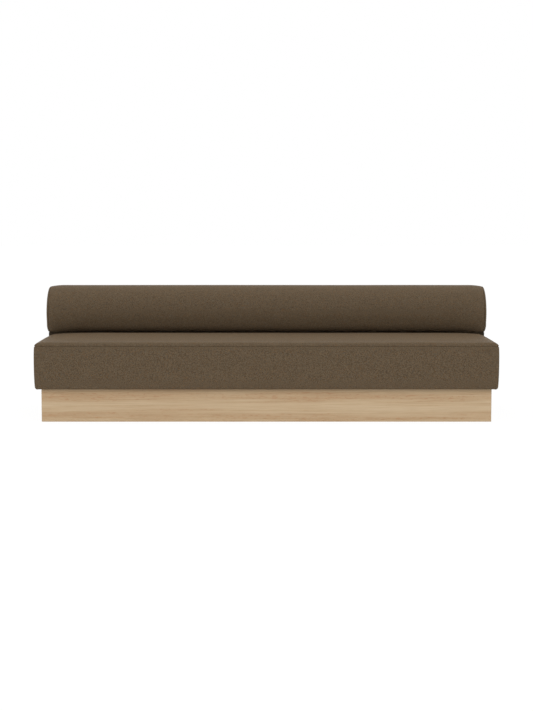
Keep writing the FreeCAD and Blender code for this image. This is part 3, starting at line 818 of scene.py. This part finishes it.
def cap_rings():
    """(distance outside the end seam, radius) from the seam to the middle of a cap."""
    seam_radius = bolster_radius - end_draw
    rings = []
    for angle in (2.7, 6, 11, 20, 32, 46, 62, 76, 90):
        turn = math.radians(angle)
        radius = seam_radius - shoulder * (1 - math.cos(turn))
        rise = shoulder_rise * math.sin(turn)
        rings.append((rise, radius - seam_dip(rise)))
    flat = seam_radius - shoulder
    for share in (0.88, 0.72, 0.54, 0.36, 0.2, 0.08):
        rings.append((shoulder_rise + dome * (1 - share ** 2), flat * share))
    return rings


# %% Bolster
tube = spread(end_seam, tube_steps, tube_step)
cap = cap_rings()
profile = [(-end_seam - rise, radius) for rise, radius in reversed(cap)]
profile += [(x, tube_radius(x)) for x in tube]
profile += [(end_seam + rise, radius) for rise, radius in cap]

roll = bmesh.new()
bmesh.ops.create_circle(roll, segments=around, radius=1.0)
turn_of = roll.verts.layers.float.new("turn")
along_of = roll.verts.layers.float.new("along")
free_of = roll.verts.layers.float.new("free")
for vert in roll.verts:
    vert[turn_of] = gathered(math.atan2(vert.co.y, vert.co.x))


def lay_ring(edges, x, radius, run):
    """Puts the ring's points on their circle, with the cloth's small unevenness."""
    for vert in {vert for edge in edges for vert in edge.verts}:
        turn = vert[turn_of]
        from_seam = abs(end_seam - abs(x))
        swing = abs(from_closing_seam(turn)) * radius
        size = radius - closing_seam_share * seam_dip(swing)
        size += pucker(turn * pucker_radius + other_end * (x > 0), from_seam, 5.0)
        calm = min(1.0, from_seam / tube_wave_start)
        size += calm * wave((x, math.cos(turn), math.sin(turn)), tube_wave, tube_per_radius)
        vert[along_of] = run
        outside = max(0.0, abs(x) - end_seam)
        near_end = min(1.0, max(0.0, 1 - (end_seam - abs(x)) / draw_run))
        foot = foot_spread * min(1.0, max(0.0, -foot_slope * math.sin(turn) - foot_start))
        lean = (end_lean * size * math.sin(turn) - foot) * near_end
        place = x + math.copysign(1.0, x) * (settled(outside, turn) - outside - lean)
        vert.co = (place, bolster_y + size * math.cos(turn),
                   bolster_z + size * settled_height(turn, end_seam - abs(x)))


circle = list(roll.edges)
lay_ring(circle, *profile[0], 0.0)
first_rim = circle
run = 0.0
for (x0, r0), (x1, r1) in zip(profile, profile[1:]):
    run += math.hypot(x1 - x0, r1 - r0)
    made = bmesh.ops.extrude_edge_only(roll, edges=circle)["geom"]
    circle = [item for item in made if isinstance(item, bmesh.types.BMEdge)
              and len(item.link_faces) == 1 and item not in first_rim]
    circle = [edge for edge in circle if all(v in made for v in edge.verts)]
    lay_ring(circle, x1, r1, run)
for rim in (first_rim, circle):
    lid = bmesh.ops.edgeloop_fill(roll, edges=rim)["faces"]
    bmesh.ops.poke(roll, faces=lid)
for vert in roll.verts:
    press = bolster_floor + press_softness - vert.co.z
    if press > 0:
        vert.co.z += press - press_softness * (1 - math.exp(-press / press_softness))
    from_floor = vert.co.z - bolster_floor
    from_seam = end_seam - abs(vert.co.x)
    if from_seam < 0:
        from_axis = math.hypot(vert.co.y - bolster_y, vert.co.z - bolster_z)
        from_seam = bolster_radius - end_draw - from_axis
    vert[free_of] = ease(from_floor, *free_by_floor) * ease(from_seam, *free_by_seam)
bmesh.ops.recalc_face_normals(roll, faces=roll.faces)


def roll_cloth_place(face, vert):
    """Round the tube and along it; the caps as flat discs."""
    if min(abs(corner.vert.co.x) for corner in face.loops) >= end_seam - hair:
        return vert.co.y, vert.co.z
    turns = [corner.vert[turn_of] for corner in face.loops]
    turn = vert[turn_of]
    if max(turns) - min(turns) > math.pi and turn < 0:
        turn += 2 * math.pi
    return vert[along_of], turn * bolster_radius


sew_uv(roll, roll_cloth_place)
bolster = finish_mesh(roll, "bolster_cushion", cloth)
print("bolster", len(bolster.data.polygons), "faces")

# %% [markdown]
# ## The bearer
# Between seat and bolster lies a low padded bar, a board wrapped in foam and cloth. Its cloth is a
# much darker copy of the seat cloth, painted shade for the shadow under the bolster. It is pulled
# down into the seat and ends flush with it, where it shows under the bolster as a dark line. A
# cube is cut into even lengths and its edges are rounded by one bevel.

# %% Bearer
bearer_round = 3 * mm
bearer_reach = 5 * mm
bearer_set_back = 11 * mm
sharp_angle, end_facing = 1.2, 0.7
bearer_half_x = bearer_high.x + bearer_reach
bar_half_y = bearer_half_y - bearer_set_back
bar_steps_x, bar_step_x = [v * mm for v in (0, 8, 16, 30)], 40 * mm
bar_steps_y, bar_step_y = [v * mm for v in (0, 9, 18)], 20 * mm
bar = bmesh.new()
bmesh.ops.create_cube(bar, size=1.0)
for vert in bar.verts:
    vert.co = (vert.co.x * 2 * bearer_half_x, bearer_y + vert.co.y * 2 * bar_half_y,
               bearer_low.z if vert.co.z < 0 else bearer_high.z)
cuts = [((x, 0, 0), (1, 0, 0)) for x in spread(bearer_half_x, bar_steps_x, bar_step_x)[1:-1]]
cuts += [((0, bearer_y + y, 0), (0, 1, 0))
         for y in spread(bar_half_y, bar_steps_y, bar_step_y)[1:-1]]
for place, across in cuts:
    bmesh.ops.bisect_plane(bar, geom=bar.verts[:] + bar.edges[:] + bar.faces[:],
                           plane_co=place, plane_no=across)
corners = [edge for edge in bar.edges if edge.calc_face_angle(0.0) > sharp_angle]
bmesh.ops.bevel(bar, geom=corners, offset=bearer_round, offset_type="OFFSET", segments=3,
                profile=0.5, affect="EDGES", material=-1)
bmesh.ops.recalc_face_normals(bar, faces=bar.faces)
bar.normal_update()


def bar_cloth_place(face, vert):
    """The cloth laid over the bar's top and down its sides."""
    if abs(face.normal.x) > end_facing:
        return vert.co.y, vert.co.z
    return vert.co.x, vert.co.y + vert.co.z


sew_uv(bar, bar_cloth_place)
# Painted shade: the darkened cloth copy stands in for the shadow under the bolster.
bearer = finish_mesh(bar, "bearer_wrap", shaded_copy_cloth)
print("bearer", len(bearer.data.polygons), "faces")

# %% [markdown]
# ## The dust cloth
# A thin black non-woven sheet is stapled under the seat to keep dust in. It is cut to size and
# stretched, so it is a plain grid with a slight hang between the ribs of the plinth. It has an
# inside and an outside, given by a solidify of 0.6 mm.

# %% Dust cloth
dust_low, dust_high = box_of("dust_cloth")
dust_size = dust_high - dust_low
rib_places = [(low.x + high.x) / 2 for low, high in
              (box_of(f"plinth_rib_{side}") for side in ("left", "middle", "right"))]
fleece = make_plain("dust_fleece", linear(30, 30, 31), linear(44, 43, 43), (700, 700, 700), 0.9)
dust_columns, dust_rows = 120, 36
dust_thickness = 0.6 * mm
dust_hang, dust_ripple = 1.2 * mm, 0.35 * mm
dust_free_run, dust_hang_power = 280 * mm, 0.7
ripples_x, ripples_y = 9, 14
dust_gap = 0.1 * mm
sheet = bmesh.new()
bmesh.ops.create_grid(sheet, x_segments=dust_columns, y_segments=dust_rows, size=0.5)
for vert in sheet.verts:
    x, y = vert.co.x * dust_size.x, vert.co.y * dust_size.y
    free = min([abs(x - place) for place in rib_places] + [dust_high.x - abs(x)]) / dust_free_run
    across = 1 - (y / dust_high.y) ** 2
    hang = dust_hang * min(1.0, free) ** dust_hang_power * across
    hang += dust_ripple * across * noise.noise(Vector((x * ripples_x, y * ripples_y, 7)))
    vert.co = (x, y, dust_high.z - dust_gap - max(0.0, hang))
dust = finish_mesh(sheet, "dust_sheet", fleece)
thick = dust.modifiers.new("thickness", "SOLIDIFY")
thick.thickness = dust_thickness
thick.offset = 1.0
print("dust cloth", round(dust_size.x, 3), "x", round(dust_size.y, 3))

# %% [markdown]
# ## What the soft pieces stand for
# The imported model holds a stiff version of every soft piece. Each cloth made here takes the place
# of the ones it covers, which are hidden.

# %% Hide the replaced pieces
sides = ("front", "back", "left", "right")
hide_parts("seat_cover_top", "seat_topper", "seat_base_foam",
            *[f"seat_cover_border_{side}" for side in sides],
            *[f"seat_side_padding_{side}" for side in sides])
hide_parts("bolster_cover", "bolster_cover_caps", "bolster_foam", "bolster_end_pads")
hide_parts("bearer_cover", "bearer_padding")
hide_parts("dust_cloth")
print("soft pieces replace their stiff versions")

# %% [markdown]
# ## The filling presses outward
# So far each panel is a formula. Foam that is packed a little too full pushes against its cover,
# and the cloth gives way most where it is furthest from a seam. The simulation below does just
# that, for less than a second of cloth time.

swell(seat_cover, seat_room, seat_swell)
swell(bolster, bolster_room, bolster_swell)
for piece, fill in ((seat_cover, 0.95), (bolster, 0.95), (bearer, 0.9)):
    smooth_once(piece)

# %% [markdown]
# ## Light and ground
# The bench is shown the way a catalogue shows it: on white, under one broad soft light above and
# another in front, with white all round to fill the shade. The sky looks white to the camera and
# lights the bench evenly. The ground keeps a faint contact shadow, which is what makes the bench
# stand.

# %% Ground
ground_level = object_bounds()[0].z
ground_half = 30.0
ground_glow, ground_answer = 0.95, 0.07
ground = bmesh.new()
bmesh.ops.create_grid(ground, x_segments=1, y_segments=1, size=ground_half)
ground_mesh = bpy.data.meshes.new("floor")
ground.to_mesh(ground_mesh)
ground.free()
floor = bpy.data.objects.new("floor", ground_mesh)
floor.location.z = ground_level
bpy.context.collection.objects.link(floor)
paper = Finish("white_floor")
paper.surface.inputs["Base Color"].default_value = (0.8, 0.8, 0.8, 1.0)
paper.surface.inputs["Roughness"].default_value = 0.9
glow = paper.add("ShaderNodeEmission", Color=(1.0, 1.0, 1.0, 1.0), Strength=ground_glow)
faint = paper.add("ShaderNodeBsdfDiffuse", Color=(*[ground_answer] * 3, 1.0))
ray = paper.add("ShaderNodeLightPath").outputs
seen = paper.math("MAXIMUM", ray["Is Camera Ray"], ray["Is Glossy Ray"])
seen = paper.math("MAXIMUM", seen, ray["Is Transmission Ray"])
lit = paper.add("ShaderNodeAddShader")
paper.put(lit.inputs[0], faint.outputs[0])
paper.put(lit.inputs[1], glow.outputs[0])
choice = paper.add("ShaderNodeMixShader", Fac=seen)
paper.put(choice.inputs[1], paper.surface.outputs[0])
paper.put(choice.inputs[2], lit.outputs[0])
paper.put(paper.tree.nodes["Material Output"].inputs["Surface"], choice.outputs[0])
ground_mesh.materials.append(paper.material)
print("ground at", round(ground_level, 4))

# %% Light
sky_strength, backdrop_strength = 0.85, 1.0
world = bpy.data.worlds.new("white_studio")
world.use_nodes = True
bpy.context.scene.world = world
world_tree = world.node_tree
sky = world_tree.nodes["Background"]
white = world_tree.nodes.new("ShaderNodeBackground")
for background, strength in ((sky, sky_strength), (white, backdrop_strength)):
    background.inputs["Color"].default_value = (1.0, 1.0, 1.0, 1.0)
    background.inputs["Strength"].default_value = strength
ray = world_tree.nodes.new("ShaderNodeLightPath").outputs
seen = ray["Is Camera Ray"]
for kind in ("Is Glossy Ray", "Is Transmission Ray"):
    either = world_tree.nodes.new("ShaderNodeMath")
    either.operation = "MAXIMUM"
    world_tree.links.new(seen, either.inputs[0])
    world_tree.links.new(ray[kind], either.inputs[1])
    seen = either.outputs[0]
backdrop = world_tree.nodes.new("ShaderNodeMixShader")
world_tree.links.new(seen, backdrop.inputs[0])
world_tree.links.new(sky.outputs[0], backdrop.inputs[1])
world_tree.links.new(white.outputs[0], backdrop.inputs[2])
world_tree.links.new(backdrop.outputs[0], world_tree.nodes["World Output"].inputs["Surface"])


def soft_light(name, size_x, size_y, place, aim, watts):
    """A rectangular softbox, turned toward its aim."""
    data = bpy.data.lights.new(name, "AREA")
    data.shape = "RECTANGLE"
    data.size, data.size_y = size_x, size_y
    data.energy = watts
    lamp = bpy.data.objects.new(name, data)
    lamp.location = place
    lamp.rotation_euler = (Vector(aim) - Vector(place)).to_track_quat("-Z", "Y").to_euler()
    bpy.context.collection.objects.link(lamp)


soft_light("overhead", 5.0, 3.0, (0.0, -0.9, 3.4), (0.0, 0.0, 0.3), 12)
soft_light("front", 5.0, 1.2, (0.0, -4.6, 3.0), (0.0, 0.0, 0.45), 48)
bpy.context.scene.view_settings.view_transform = "Standard"
print("two soft lights and a white sky")
